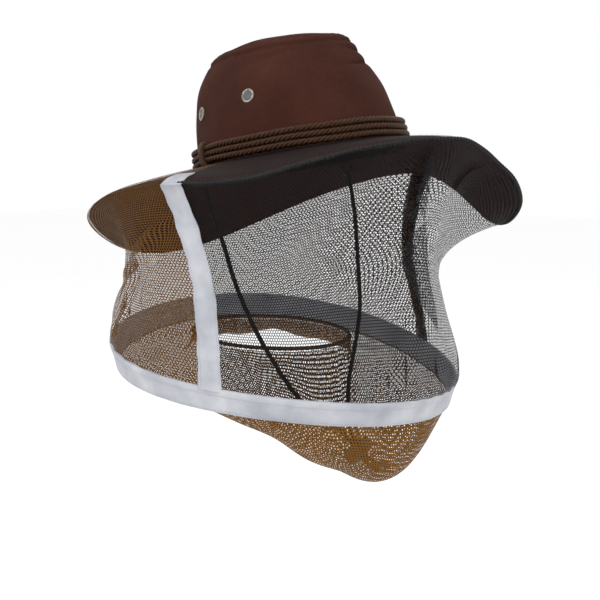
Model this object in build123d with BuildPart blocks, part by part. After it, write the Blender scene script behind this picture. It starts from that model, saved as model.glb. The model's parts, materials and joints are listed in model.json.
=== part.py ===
from build123d import *
import math
import os

# Beekeeping veil: a wide-brimmed cotton hat with a net veil sewn to a wire hoop.
# Origin at the centre of the head opening, +Z up, the wearer faces -Y, +X is the wearer's left.
# Angles around the hat and the veil start at the front and grow towards the wearer's right.

os.makedirs("parts", exist_ok=True)

# Hat
HAT_TILT = 11.0  # the hat is worn tipped back, so its front is high
OPENING_LENGTH = 103.0  # half of the crown's outside at its foot, front to back
OPENING_WIDTH = 88.0  # half of it from side to side
CLOTH = 1.6  # crown cloth with its lining
CROWN_TOP_EDGE = 106.0  # height of the seam between side and top panel
CROWN_DOME = 11.0
CROWN_DENT = 13.0
BRIM_PLY = 1.7
BRIM_GAP = 0.2  # interlining between the two plies
BRIM_LENGTH = 198.0  # half of the brim, front to back
BRIM_WIDTH = 184.0
BINDING_WIDTH = 5.0
BINDING_HEIGHT = 4.6
SWEATBAND_HEIGHT = 30.0
SWEATBAND_INSET = 8.8
SWEATBAND_THICKNESS = 1.2
EYELET_RADIUS = 6.4
CORD_RADIUS = 2.9  # one strand of the hat cord
HAT_CORD_HEIGHT = 14.5  # middle strand above the brim
HAT_CORD_PITCH = 6.1
HAT_CORD_GAP = 2.5
WRAP_ANGLE = 112.0
WRAP_WIDTH = 9.0
BELOW_BRIM = -130.0  # level below the whole brim, from which areas of it are cut out
CUT_HEIGHT = 200.0

# Veil
NET = 0.8
TAPE = 0.8
TAPE_WIDTH = 21.0
CLEAR = 0.4
TOP_HEM = 9.0  # width of the elastic hem on the brim
HOOP_RADIUS = 164.0
HOOP_CENTRE = (-7.0, 17.0, -184.0)
HOOP_PITCH = 9.5  # the hoop hangs lower at the front
HOOP_ROLL = 1.0
HOOP_SAG = 11.0  # the springy wire bends out of its plane
HOOP_TAPE = 21.0  # height of the casing tape
HOOP_TAPER = 5.0  # its lower edge lies nearer to the neck
HOOP_WIRE_RADIUS = 1.3
SEAM_RIGHT = 84.0  # side tape on the brim, and below on the hoop
SEAM_RIGHT_HOOP = 69.0
SEAM_LEFT = -92.0
SEAM_LEFT_HOOP = -74.0
NECK_CENTRE = (2.0, 42.0, -170.0)
NECK_RADIUS = 76.0
NECK_ELASTIC = 2.2

# Chin cord
CHIN_CORD_RADIUS = 2.0
STRAND_SPACING = 2.8
LOCK_RADIUS = 7.5
LOCK_WALL = 1.4
LOCK_LOW = -13.0  # the lock's foot, measured from the cords along its own axis
LOCK_HIGH = 8.0
PLUNGER_TRAVEL = 3.0
PLUNGER_HIGH = 14.0
PLUNGER_LOW = -5.5
SPRING_RADIUS = 4.6
SPRING_WIRE = 1.2
KNOT_RADIUS = 4.2
TAB_HEIGHT = 7.0
TAB_WIDTH = 11.0
TAB_DEPTH = 5.5

HAT = Plane(
    origin=(0, 0, 0),
    x_dir=(1, 0, 0),
    z_dir=(0, math.sin(math.radians(HAT_TILT)), math.cos(math.radians(HAT_TILT))),
)


def turned(angle, centre):
    """The difference between two angles, from -180 to 180 degrees."""
    return (angle - centre + 180) % 360 - 180


def swell(angle, centre, spread):
    """A smooth bump of height 1 around an angle."""
    return math.exp(-((turned(angle, centre) / spread) ** 2))


def on_oval(angle, length, width):
    """A point of an oval, as x and y."""
    turn = math.radians(angle)
    return -width * math.sin(turn), -length * math.cos(turn)


# Crown: its half length and width shrink upwards and it leans back a little.
def crown_scale(height):
    rise = height / CROWN_TOP_EDGE
    return 1 - 0.13 * rise - 0.23 * rise**4.2


def crown_lean(height):
    return 6 * math.sin(math.pi * min(height / CROWN_TOP_EDGE, 1) * 0.62)


def crown_pinch(angle, height):
    """How far the hand-shaped hollows beside the front draw the crown in."""
    sides = swell(angle, 34, 17) + swell(angle, -34, 17)
    return 6.5 * sides * math.exp(-(((height - 82) / 24) ** 2))


def crown_point(angle, height, inset=0.0):
    """A point of the crown's side, in the hat's own frame."""
    scale = crown_scale(height)
    inward = inset + crown_pinch(angle, height)
    x, y = on_oval(angle, OPENING_LENGTH * scale - inward, OPENING_WIDTH * scale - inward)
    return x, y + crown_lean(height), height


# Brim: nearly flat at the crown, dipped at the front left and at the back, rolled at the sides.
def brim_dip(angle):
    """Height of the brim's edge above the head opening."""
    front_spread = 36 if turned(angle, -57) > 0 else 22
    front = 73 * swell(angle, -57, front_spread)
    back = 51 * swell(angle, 182, 42)
    side = 13 * swell(angle, 63, 23)
    return -10 - front - back - side


def brim_reach(angle):
    """Distance from the hat's axis to the brim's edge."""
    turn = math.radians(angle)
    rear = 16 * max(0.0, -math.cos(math.radians(angle - 20))) ** 1.5
    length = BRIM_LENGTH + rear
    plain = 1 / math.hypot(math.cos(turn) / length, math.sin(turn) / BRIM_WIDTH)
    return plain + 11 * swell(angle, 132, 26)


def crown_reach(angle):
    turn = math.radians(angle)
    return 1 / math.hypot(math.cos(turn) / OPENING_LENGTH, math.sin(turn) / OPENING_WIDTH)


def brim_height(x, y):
    """Height of the surface between the brim's two plies."""
    angle = math.degrees(math.atan2(-x, -y))
    inner = crown_reach(angle)
    out = max(0.0, (math.hypot(x, y) - inner) / (brim_reach(angle) - inner))
    return -3 * out + (brim_dip(angle) + 3) * out**1.75


def hat_point(x, y, z):
    return HAT.from_local_coords((x, y, z))


def brim_edge(angle, out=0.0, up=0.0):
    """A point beside the brim's edge, in the veil's frame."""
    reach = brim_reach(angle) + out
    x, y = on_oval(angle, reach, reach)
    return hat_point(x, y, brim_dip(angle) + up)


# Hoop
def hoop_point(angle, radius=HOOP_RADIUS, up=0.0):
    """A point beside the hoop, measured from the middle of its casing tape."""
    x, y = on_oval(angle, radius, radius)
    lift = y * math.tan(math.radians(HOOP_PITCH)) + x * math.tan(math.radians(HOOP_ROLL))
    sag = HOOP_SAG * math.sin(math.radians(angle - 48)) ** 2
    return Vector(x + HOOP_CENTRE[0], y + HOOP_CENTRE[1], up + lift - sag + HOOP_CENTRE[2])


def hoop_angle(angle):
    """The angle on the hoop under an angle on the brim: the veil hangs slightly twisted."""
    if angle <= SEAM_RIGHT:
        part = (angle - SEAM_LEFT) / (SEAM_RIGHT - SEAM_LEFT)
        return SEAM_LEFT_HOOP + part * (SEAM_RIGHT_HOOP - SEAM_LEFT_HOOP)
    part = (angle - SEAM_RIGHT) / (360 + SEAM_LEFT - SEAM_RIGHT)
    return SEAM_RIGHT_HOOP + part * (360 + SEAM_LEFT_HOOP - SEAM_RIGHT_HOOP)


# Veil: the net leaves the brim's edge, draws in below it and widens again to the hoop.
def waist_radius(angle):
    return 153 - 12 * swell(angle, -50, 45) + 4 * swell(angle, 150, 50)


def veil_point(angle, drop, out=0.0):
    """A point of the net: drop runs from 0 at the brim's edge to 1 at the hoop."""
    low = hoop_angle(angle)
    middle = angle + 0.62 * (low - angle)
    edge = brim_edge(angle, 3.6 + out, -1.0)
    tuck = brim_edge(angle, 1.5 + out, -7.0)
    foot = hoop_point(low, HOOP_RADIUS + out, HOOP_TAPE / 2 + CLEAR)
    ring = hoop_point(middle, waist_radius(angle) + out, 0)
    depth = edge.Z - foot.Z
    waist = Vector(ring.X, ring.Y, edge.Z - 0.44 * depth)
    swing = hoop_point(low, HOOP_RADIUS + 4 + out, 0)
    belly = Vector(swing.X, swing.Y, edge.Z - 0.82 * depth)
    return bezier((edge, tuck, waist, waist, belly, foot), drop)


def bezier(points, part):
    """The point of a Bezier curve at a part of its way."""
    order = len(points) - 1
    total = Vector(0, 0, 0)
    for index, point in enumerate(points):
        weight = math.comb(order, index) * part**index * (1 - part) ** (order - index)
        total += point * weight
    return total


def cloth_solid(point_of, first, last, columns, rows, thickness):
    """A sheet through the points of a formula of an angle and a drop, thickened outwards."""

    def point(i, j):
        return point_of(first + (last - first) * i / columns, j / rows)

    def normal(i, j):
        along = point(min(i + 1, columns), j) - point(max(i - 1, 0), j)
        down = point(i, min(j + 1, rows)) - point(i, max(j - 1, 0))
        return along.cross(down).normalized()

    near = [[point(i, j) for j in range(rows + 1)] for i in range(columns + 1)]
    far = [
        [near[i][j] + normal(i, j) * thickness for j in range(rows + 1)]
        for i in range(columns + 1)
    ]
    faces = [Face.make_surface_from_array_of_points(grid) for grid in (near, far)]
    for edge in faces[0].edges():
        beside = faces[1].edges().sort_by_distance(edge.center())[0]
        faces.append(Face.make_surface_from_curves(edge, beside))
    return Solid(Shell(faces))


def outline(reach_of, inset=0.0, count=36):
    """Points around a closed outline, in the hat's own frame."""
    angles = [360 * index / count for index in range(count)]
    return [on_oval(angle, reach_of(angle) - inset, reach_of(angle) - inset) for angle in angles]


# --- Hat ---------------------------------------------------------------------------------------

CROWN_LEVELS = [0, 22, 44, 64, 80, 92, 100, CROWN_TOP_EDGE]


def crown_sections(inset):
    """Level slices through the crown, from its foot to the top seam."""
    faces = []
    for height in CROWN_LEVELS:
        with BuildSketch(HAT.offset(height)) as level:
            with BuildLine():
                angles = range(0, 360, 10)
                Spline(*[crown_point(angle, height, inset)[:2] for angle in angles], periodic=True)
            make_face()
        faces.append(level.sketch.face())
    return faces


with BuildPart() as crown_side:
    loft(sections=crown_sections(0))
    loft(sections=crown_sections(CLOTH), mode=Mode.SUBTRACT)

with BuildPart() as crown_side_right:
    add(crown_side.part)
    split(bisect_by=Plane.YZ.offset(-0.05), keep=Keep.BOTTOM)
crown_side_right.part.label = "crown_side_right"
export_step(crown_side_right.part, "parts/crown_side_right.step")

with BuildPart() as crown_side_left:
    add(crown_side.part)
    split(bisect_by=Plane.YZ.offset(0.05), keep=Keep.TOP)
crown_side_left.part.label = "crown_side_left"
export_step(crown_side_left.part, "parts/crown_side_left.step")


def top_height(x, y):
    """Height of the top panel: a low dome with a hand-shaped groove from front to back."""
    scale = crown_scale(CROWN_TOP_EDGE)
    along = (y - crown_lean(CROWN_TOP_EDGE)) / (OPENING_LENGTH * scale)
    across = x / (OPENING_WIDTH * scale)
    middle = 1 - along**2 - across**2
    groove = math.exp(-((across / 0.36) ** 2)) * math.exp(-(((along + 0.1) / 0.6) ** 2))
    return CROWN_TOP_EDGE + 0.1 + (CROWN_DOME - CROWN_DENT * groove) * middle


TOP_LENGTH = OPENING_LENGTH * crown_scale(CROWN_TOP_EDGE)
TOP_WIDTH = OPENING_WIDTH * crown_scale(CROWN_TOP_EDGE)


def height_face(height_of, half_x, half_y, centre_y, cells):
    """A smooth face over a rectangle of the hat's own frame."""
    grid = []
    for i in range(cells + 1):
        x = half_x * (2 * i / cells - 1)
        ys = [centre_y + half_y * (2 * j / cells - 1) for j in range(cells + 1)]
        grid.append([hat_point(x, y, height_of(x, y)) for y in ys])
    return Face.make_surface_from_array_of_points(grid)


with BuildPart() as crown_top:
    lean = crown_lean(CROWN_TOP_EDGE)
    extrude(height_face(top_height, TOP_WIDTH + 4, TOP_LENGTH + 4, lean, 30), amount=CLOTH, dir=HAT.z_dir)
    with BuildSketch(HAT.offset(CROWN_TOP_EDGE - 30)):
        with Locations((0, lean)):
            Ellipse(TOP_WIDTH - 0.3, TOP_LENGTH - 0.3)
    extrude(amount=60, mode=Mode.INTERSECT)
crown_top.part.label = "crown_top"
export_step(crown_top.part, "parts/crown_top.step")

brim_face = height_face(brim_height, BRIM_WIDTH + 26, BRIM_LENGTH + 34, 0, 46)


def brim_ring(outer_inset, inner_reach, inner_inset):
    """The area between two outlines around the crown, well below the brim."""
    with BuildSketch(HAT.offset(BELOW_BRIM)) as ring:
        with BuildLine():
            Spline(*outline(brim_reach, outer_inset), periodic=True)
        make_face()
        with BuildLine():
            Spline(*outline(inner_reach, inner_inset), periodic=True)
        make_face(mode=Mode.SUBTRACT)
    return ring.sketch


def brim_level(height):
    """The brim's middle surface, moved along the hat's axis."""
    return brim_face.moved(Location(HAT.z_dir * height))


with BuildPart() as brim_upper:
    extrude(brim_level(BRIM_GAP / 2), amount=BRIM_PLY, dir=HAT.z_dir)
    extrude(brim_ring(BINDING_WIDTH, crown_reach, -2 * CLEAR), amount=CUT_HEIGHT, mode=Mode.INTERSECT)
brim_upper.part.label = "brim_upper"
export_step(brim_upper.part, "parts/brim_upper.step")

with BuildPart() as brim_lower:
    extrude(brim_level(-BRIM_GAP / 2 - BRIM_PLY), amount=BRIM_PLY, dir=HAT.z_dir)
    extrude(brim_ring(BINDING_WIDTH, crown_reach, -2 * CLEAR), amount=CUT_HEIGHT, mode=Mode.INTERSECT)
brim_lower.part.label = "brim_lower"
export_step(brim_lower.part, "parts/brim_lower.step")

with BuildPart() as brim_binding:
    extrude(brim_level(-BINDING_HEIGHT / 2), amount=BINDING_HEIGHT, dir=HAT.z_dir)
    extrude(brim_ring(0, brim_reach, BINDING_WIDTH - 0.1), amount=CUT_HEIGHT, mode=Mode.INTERSECT)
brim_binding.part.label = "brim_binding"
export_step(brim_binding.part, "parts/brim_binding.step")

# The sweatband stands inside the crown's foot.
SWEATBAND_WIDTH = OPENING_WIDTH - SWEATBAND_INSET
SWEATBAND_LENGTH = OPENING_LENGTH - SWEATBAND_INSET
with BuildPart() as sweatband:
    with BuildSketch(HAT.offset(-1)):
        with Locations((0, 1)):
            Ellipse(SWEATBAND_WIDTH, SWEATBAND_LENGTH)
            inner = (SWEATBAND_WIDTH - SWEATBAND_THICKNESS, SWEATBAND_LENGTH - SWEATBAND_THICKNESS)
            Ellipse(*inner, mode=Mode.SUBTRACT)
    extrude(amount=SWEATBAND_HEIGHT)
sweatband.part.label = "sweatband"
export_step(sweatband.part, "parts/sweatband.step")


def crown_plane(angle, height):
    """A plane on the crown's side, facing outwards."""
    here = hat_point(*crown_point(angle, height))
    aside = hat_point(*crown_point(angle + 2, height)) - here
    above = hat_point(*crown_point(angle, height + 2)) - here
    return Plane(origin=here, x_dir=aside, z_dir=above.cross(aside))


# Two ventilation eyelets on each side, each a metal ring with a gauze disc in it.
for side, sign in (("right", 1), ("left", -1)):
    for place, angle, height in (("front", 76, 58), ("rear", 118, 54)):
        face = crown_plane(sign * angle, height)
        with BuildPart() as eyelet:
            with BuildSketch(face.offset(0.5)):
                Circle(EYELET_RADIUS)
                Circle(EYELET_RADIUS - 2.0, mode=Mode.SUBTRACT)
            extrude(amount=1.3)
            rings = eyelet.edges().filter_by(GeomType.CIRCLE)
            outermost = rings.group_by(lambda ring: ring.center().dot(face.z_dir))[-1]
            fillet(outermost, 0.5)
        name = f"eyelet_{side}_{place}"
        eyelet.part.label = name
        export_step(eyelet.part, f"parts/{name}.step")
        with BuildPart() as gauze:
            with BuildSketch(face.offset(0.5)):
                Circle(EYELET_RADIUS - 2.05)
            extrude(amount=0.5)
        name = f"eyelet_gauze_{side}_{place}"
        gauze.part.label = name
        export_step(gauze.part, f"parts/{name}.step")


# The hat cord: three twisted strands around the crown.
def hat_cord_path(height):
    scale = crown_scale(height)
    width = OPENING_WIDTH * scale + CORD_RADIUS + HAT_CORD_GAP
    length = OPENING_LENGTH * scale + CORD_RADIUS + HAT_CORD_GAP
    with BuildLine(HAT.offset(height)) as path:
        EllipticalCenterArc((0, crown_lean(height)), width, length, 0, arc_size=180)
        EllipticalCenterArc((0, crown_lean(height)), width, length, 180, arc_size=180)
    return path.wires()[0]


for index, name in enumerate(("hat_cord_lower", "hat_cord_middle", "hat_cord_upper")):
    path = hat_cord_path(HAT_CORD_HEIGHT + (index - 1) * HAT_CORD_PITCH)
    with BuildPart() as hat_cord:
        with BuildSketch(path ^ 0):
            Circle(CORD_RADIUS)
        sweep(path=path)
    hat_cord.part.label = name
    export_step(hat_cord.part, f"parts/{name}.step")

# A short wrap binds the three strands behind the wearer's right ear.
wrap_plane = crown_plane(WRAP_ANGLE, HAT_CORD_HEIGHT + 1.5)
with BuildPart() as hat_cord_wrap:
    with BuildSketch(wrap_plane.offset(CORD_RADIUS)):
        RectangleRounded(WRAP_WIDTH, 3 * HAT_CORD_PITCH + 2, 2.5)
    extrude(amount=CORD_RADIUS + 2.4)
hat_cord_wrap.part.label = "hat_cord_wrap"
export_step(hat_cord_wrap.part, "parts/hat_cord_wrap.step")

# --- Veil --------------------------------------------------------------------------------------


def over_brim(first, last):
    """The part of the net that lies on the brim, between two seams."""
    with BuildSketch(HAT.offset(BELOW_BRIM)) as area:
        with BuildLine():
            angles = [first + (last - first) * step / 16 for step in range(17)]
            reaches = [(angle, brim_reach(angle) + 1.0) for angle in angles]
            outer = Spline(*[on_oval(angle, reach, reach) for angle, reach in reaches])
            reaches = [(angle, crown_reach(angle) + TOP_HEM) for angle in angles]
            inner = Spline(*[on_oval(angle, reach, reach) for angle, reach in reaches])
            Line(outer @ 0, inner @ 0)
            Line(outer @ 1, inner @ 1)
        make_face()
    return area.sketch


SEAM_GAP = 0.3
PANELS = (
    ("front", SEAM_LEFT + SEAM_GAP, SEAM_RIGHT - SEAM_GAP),
    ("rear", SEAM_RIGHT + SEAM_GAP, 360 + SEAM_LEFT - SEAM_GAP),
)

for place, first, last in PANELS:
    with BuildPart() as net_top:
        extrude(brim_level(BINDING_HEIGHT / 2 + CLEAR), amount=NET, dir=HAT.z_dir)
        extrude(over_brim(first, last), amount=CUT_HEIGHT, mode=Mode.INTERSECT)
    net_top.part.label = f"{place}_net_over_brim"
    export_step(net_top.part, f"parts/{place}_net_over_brim.step")
    with BuildPart() as net:
        add(cloth_solid(veil_point, first, last, 32, 12, NET))
    net.part.label = f"{place}_net"
    export_step(net.part, f"parts/{place}_net.step")


def tape_point(seam):
    """Points of a side tape, which covers the seam between the two nets."""

    def point_of(across, drop):
        angle = seam + math.degrees(across / (185 - 24 * math.sin(math.pi * min(1, drop * 1.3) / 2)))
        return veil_point(angle, drop * 0.985 + 0.004, NET + 2 * CLEAR)

    return point_of


for side, seam in (("right", SEAM_RIGHT), ("left", SEAM_LEFT)):
    with BuildPart() as side_tape:
        add(cloth_solid(tape_point(seam), -TAPE_WIDTH / 2, TAPE_WIDTH / 2, 6, 12, TAPE))
    side_tape.part.label = f"side_tape_{side}"
    export_step(side_tape.part, f"parts/side_tape_{side}.step")


# The casing tape is folded around the hoop wire.
def casing_section(angle):
    """At an angle around the hoop: the casing's outline, the wire's channel and the wire."""
    top = hoop_point(angle, HOOP_RADIUS, HOOP_TAPE / 2)
    low = hoop_point(angle, HOOP_RADIUS - HOOP_TAPER, -HOOP_TAPE / 2)
    x, y = on_oval(angle, 1, 1)
    cut = Plane(origin=top, x_dir=(x, y, 0), z_dir=(-y, x, 0))
    fall = (low.Z - top.Z, -HOOP_TAPER)
    half_top = HOOP_WIRE_RADIUS + 1.2
    with BuildSketch(cut) as section:
        with BuildLine():
            up = 1 if cut.y_dir.Z > 0 else -1
            Polyline(
                (-half_top, 0),
                (half_top, 0),
                (half_top + fall[1] * 0.22, up * fall[0] * 0.22),
                (fall[1] + 0.9, up * fall[0]),
                (fall[1] - 0.9, up * fall[0]),
                (-half_top + fall[1] * 0.22, up * fall[0] * 0.22),
                close=True,
            )
        make_face()
    discs = []
    for radius in (HOOP_WIRE_RADIUS + 0.3, HOOP_WIRE_RADIUS):
        with BuildSketch(cut) as disc:
            with Locations((-0.5, -up * (HOOP_WIRE_RADIUS + 1.0))):
                Circle(radius)
        discs.append(disc.sketch.face())
    return section.sketch.face(), *discs


def casing_half(first):
    angles = [first + 180 * step / 12 for step in range(13)]
    return [casing_section(angle) for angle in angles]


for place, first in (("front", -90), ("rear", 90)):
    cuts = casing_half(first)
    with BuildPart() as casing:
        loft(sections=[section for section, channel, wire in cuts])
        loft(sections=[channel for section, channel, wire in cuts], mode=Mode.SUBTRACT)
    casing.part.label = f"hoop_casing_{place}"
    export_step(casing.part, f"parts/hoop_casing_{place}.step")
    with BuildPart() as hoop_wire:
        loft(sections=[wire for section, channel, wire in cuts])
    hoop_wire.part.label = f"hoop_wire_{place}"
    export_step(hoop_wire.part, f"parts/hoop_wire_{place}.step")


# The neck net hangs from the hoop as a pouch, deepest below the chin, and rises to the neck.
def neck_point(angle, part):
    rim = hoop_point(angle, HOOP_RADIUS - HOOP_TAPER - 0.6, -HOOP_TAPE / 2 - CLEAR - NET)
    x, y = on_oval(angle, NECK_RADIUS, NECK_RADIUS)
    neck = Vector(NECK_CENTRE[0] + x, NECK_CENTRE[1] + y, NECK_CENTRE[2] + 0.06 * y)
    depth = 7 + 92 * swell(angle, -8, 44) + 14 * swell(angle, 48, 30)
    outer = rim + (neck - rim) * 0.12 - Vector(0, 0, depth * 0.8)
    under = rim + (neck - rim) * 0.5 - Vector(0, 0, depth * 1.35)
    inner = Vector(neck.X, neck.Y, neck.Z - 24 - 0.6 * depth)
    return bezier((rim, outer, under, inner, neck), part)


for place, first in (("front", -90), ("rear", 90)):
    with BuildPart() as neck_net:
        add(cloth_solid(neck_point, first + 0.2, first + 179.8, 30, 12, NET))
    neck_net.part.label = f"neck_net_{place}"
    export_step(neck_net.part, f"parts/neck_net_{place}.step")

neck_tilt = Plane(
    origin=(NECK_CENTRE[0], NECK_CENTRE[1], NECK_CENTRE[2] + NECK_ELASTIC + CLEAR + 0.2),
    x_dir=(1, 0, 0),
    z_dir=(0, -0.06, 1),
)
with BuildPart() as neck_elastic:
    with BuildLine(neck_tilt) as neck_path:
        CenterArc((0, 0), NECK_RADIUS, 0, 360)
    with BuildSketch(neck_path.wires()[0] ^ 0):
        Circle(NECK_ELASTIC)
    sweep(path=neck_path.wires()[0])
neck_elastic.part.label = "neck_elastic"
export_step(neck_elastic.part, "parts/neck_elastic.step")

# The elastic hem at the crown's foot holds the veil on the hat.
with BuildPart() as veil_hem:
    extrude(brim_level(BINDING_HEIGHT / 2 + CLEAR - 0.6), amount=NET + 1.6, dir=HAT.z_dir)
    with BuildSketch(HAT.offset(BELOW_BRIM)):
        with BuildLine():
            Spline(*outline(crown_reach, -TOP_HEM + CLEAR), periodic=True)
        make_face()
        with BuildLine():
            Spline(*outline(crown_reach, -2.2), periodic=True)
        make_face(mode=Mode.SUBTRACT)
    extrude(amount=CUT_HEIGHT, mode=Mode.INTERSECT)
veil_hem.part.label = "veil_hem"
export_step(veil_hem.part, "parts/veil_hem.step")

# --- Chin cord ---------------------------------------------------------------------------------

CORD_DOWN = Vector(0, -0.68, -0.733)  # the pair's direction through the lock
LOCK_PLANE = Plane(origin=(-16, -84, -261), x_dir=(1, 0, 0), z_dir=(0, -0.733, 0.68))

RIGHT_ROUTE = [
    (-101.0, 28.0, -17.0),
    (-98.5, 22.0, -42.0),
    (-92.0, 12.0, -72.0),
    (-89.5, 1.0, -108.0),
    (-83.0, -20.0, -152.0),
    (-69.0, -43.0, -196.0),
    (-58.0, -58.0, -218.0),
    (-40.0, -65.0, -233.0),
    (-18.8, -70.0, -246.0),
    (-18.8, -93.1, -270.9),
    (-22.0, -109.0, -272.0),
]
LEFT_ROUTE = [
    (101.0, 28.0, -17.0),
    (99.5, 20.0, -42.0),
    (95.0, 12.0, -74.0),
    (87.0, 3.0, -108.0),
    (77.0, -9.0, -144.0),
    (44.0, -30.0, -178.0),
    (22.0, -40.0, -204.0),
    (0.0, -58.0, -229.0),
    (-13.2, -70.0, -246.0),
    (-13.2, -93.1, -270.9),
    (-9.5, -109.0, -272.0),
]


def cord_radii(points):
    """Each arc of a cord is as large as its two runs allow."""
    radii = []
    for before, corner, after in zip(points, points[1:], points[2:]):
        first, second = corner - before, after - corner
        half_turn = math.radians(first.get_angle(second)) / 2
        radii.append(0.45 * min(first.length, second.length) / math.tan(half_turn))
    return radii


for side, route in (("right", RIGHT_ROUTE), ("left", LEFT_ROUTE)):
    points = [Vector(*point) for point in route]
    with BuildPart() as chin_cord:
        with BuildLine() as cord_path:
            FilletPolyline(*points, radius=cord_radii(points))
        with BuildSketch(cord_path.wires()[0] ^ 0):
            Circle(CHIN_CORD_RADIUS)
        sweep(path=cord_path.wires()[0])
    chin_cord.part.label = f"chin_cord_{side}"
    export_step(chin_cord.part, f"parts/chin_cord_{side}.step")
    # A stitched tab under the brim holds the cord's upper end.
    start = points[0] - points[1]
    tab_plane = Plane(origin=points[0], x_dir=(0, 1, 0), z_dir=start)
    with BuildPart() as tab:
        with BuildSketch(tab_plane):
            RectangleRounded(TAB_WIDTH, TAB_DEPTH, 1.5)
        extrude(amount=TAB_HEIGHT)
    tab.part.label = f"cord_tab_{side}"
    export_step(tab.part, f"parts/cord_tab_{side}.step")
    end = points[-1] - points[-2]
    with BuildPart() as knot:
        with Locations(points[-1] + end.normalized() * (KNOT_RADIUS - 0.4)):
            Sphere(KNOT_RADIUS)
    knot.part.label = f"cord_knot_{side}"
    export_step(knot.part, f"parts/cord_knot_{side}.step")


SLOT_PLANE = Plane(origin=LOCK_PLANE.origin, x_dir=(1, 0, 0), z_dir=CORD_DOWN)
SLOT_UP = -1 if LOCK_PLANE.z_dir.dot(SLOT_PLANE.y_dir) < 0 else 1
SLOT_REACH = CHIN_CORD_RADIUS + 0.3


def cord_slot(low, high):
    """The slot for both strands, cut through along the cords."""
    with BuildSketch(SLOT_PLANE) as slot:
        with Locations((0, (low + high) / 2)):
            Rectangle(2 * (STRAND_SPACING + CHIN_CORD_RADIUS + 0.35), high - low)
    return slot.sketch


with BuildPart() as lock_barrel:
    with BuildSketch(LOCK_PLANE.offset(LOCK_LOW)):
        Circle(LOCK_RADIUS)
    extrude(amount=LOCK_HIGH - LOCK_LOW)
    with BuildSketch(LOCK_PLANE.offset(LOCK_LOW + LOCK_WALL)):
        Circle(LOCK_RADIUS - LOCK_WALL)
    extrude(amount=LOCK_HIGH - LOCK_LOW, mode=Mode.SUBTRACT)
    extrude(cord_slot(-SLOT_REACH, SLOT_REACH), amount=20, both=True, mode=Mode.SUBTRACT)
lock_barrel.part.label = "lock_barrel"
export_step(lock_barrel.part, "parts/lock_barrel.step")

with BuildPart() as lock_plunger:
    with BuildSketch(LOCK_PLANE.offset(PLUNGER_LOW)):
        Circle(LOCK_RADIUS - LOCK_WALL - 0.3)
    extrude(amount=PLUNGER_HIGH - PLUNGER_LOW)
    high = CHIN_CORD_RADIUS + PLUNGER_TRAVEL + 0.4
    bounds = sorted((SLOT_UP * -SLOT_REACH, SLOT_UP * high))
    extrude(cord_slot(*bounds), amount=20, both=True, mode=Mode.SUBTRACT)
lock_plunger.part.label = "lock_plunger"
export_step(lock_plunger.part, "parts/lock_plunger.step")

with BuildPart() as lock_spring:
    with BuildSketch(LOCK_PLANE.offset(LOCK_LOW + LOCK_WALL + 0.05)):
        Circle(SPRING_RADIUS)
        Circle(SPRING_RADIUS - SPRING_WIRE, mode=Mode.SUBTRACT)
    extrude(amount=PLUNGER_LOW - LOCK_LOW - LOCK_WALL - 0.1)
lock_spring.part.label = "lock_spring"
export_step(lock_spring.part, "parts/lock_spring.step")
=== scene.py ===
import json
import math

import bpy
from mathutils import Matrix, Vector

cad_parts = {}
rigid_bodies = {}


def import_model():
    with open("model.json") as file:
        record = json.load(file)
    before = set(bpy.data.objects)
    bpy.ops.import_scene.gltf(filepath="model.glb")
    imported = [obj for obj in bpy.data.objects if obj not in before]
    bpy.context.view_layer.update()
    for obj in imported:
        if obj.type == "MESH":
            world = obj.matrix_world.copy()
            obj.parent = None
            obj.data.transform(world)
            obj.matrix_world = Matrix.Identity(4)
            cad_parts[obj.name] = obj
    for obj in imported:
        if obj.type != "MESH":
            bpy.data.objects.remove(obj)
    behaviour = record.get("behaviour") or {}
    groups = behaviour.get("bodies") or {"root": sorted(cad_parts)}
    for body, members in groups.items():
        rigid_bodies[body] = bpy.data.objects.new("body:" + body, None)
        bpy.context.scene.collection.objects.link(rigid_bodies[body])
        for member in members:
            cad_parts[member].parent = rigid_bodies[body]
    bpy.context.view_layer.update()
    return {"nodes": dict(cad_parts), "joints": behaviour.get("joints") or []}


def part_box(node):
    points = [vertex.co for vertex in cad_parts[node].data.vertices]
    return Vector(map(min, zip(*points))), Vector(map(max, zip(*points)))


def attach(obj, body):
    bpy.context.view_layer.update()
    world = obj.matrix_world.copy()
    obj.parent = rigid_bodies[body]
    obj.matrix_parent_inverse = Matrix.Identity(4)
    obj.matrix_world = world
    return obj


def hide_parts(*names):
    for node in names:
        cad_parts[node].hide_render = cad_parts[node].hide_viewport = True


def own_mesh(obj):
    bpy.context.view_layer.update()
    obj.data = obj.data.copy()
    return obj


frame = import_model()

MM = 0.001
HAT_BODY = "hat"

# Shape formulas of the hat and veil, in millimetres. Angles start at the front (-Y) and grow to
# the wearer's right (-X).
HAT_TILT = 11.0
OPENING_LENGTH = 103.0
OPENING_WIDTH = 88.0
CROWN_TOP_EDGE = 106.0
CROWN_DOME = 11.0
CROWN_DENT = 13.0
CROWN_TAPER = 0.13
CROWN_ROUNDING = 0.23
ROUNDING_POWER = 4.2
CROWN_LEAN = 6.0
LEAN_REACH = 0.62  # the share of a half wave that the lean follows
PINCH_HEIGHT = 82.0
PINCH_TALL = 24.0
TOP_GATHERS = 31
EYELETS = (("front", 76, 58), ("rear", 118, 54))  # name, angle and height
BRIM_LENGTH = 198.0
BRIM_WIDTH = 184.0
BRIM_LEVEL = -10.0
BRIM_SLOPE = -3.0  # the straight part of the brim's drop
BRIM_CURVE = 1.75  # the power that the rest of the drop follows
REAR_BULGE = 16.0
REAR_BULGE_TURN = 20.0
FRONT_DIP = 73.0
FRONT_DIP_ANGLE = -57.0
FRONT_DIP_AHEAD = 36.0
FRONT_DIP_BEHIND = 22.0
HOOP_RADIUS = 164.0
HOOP_CENTRE = Vector((-7.0, 17.0, -184.0))
HOOP_PITCH = 9.5
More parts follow.
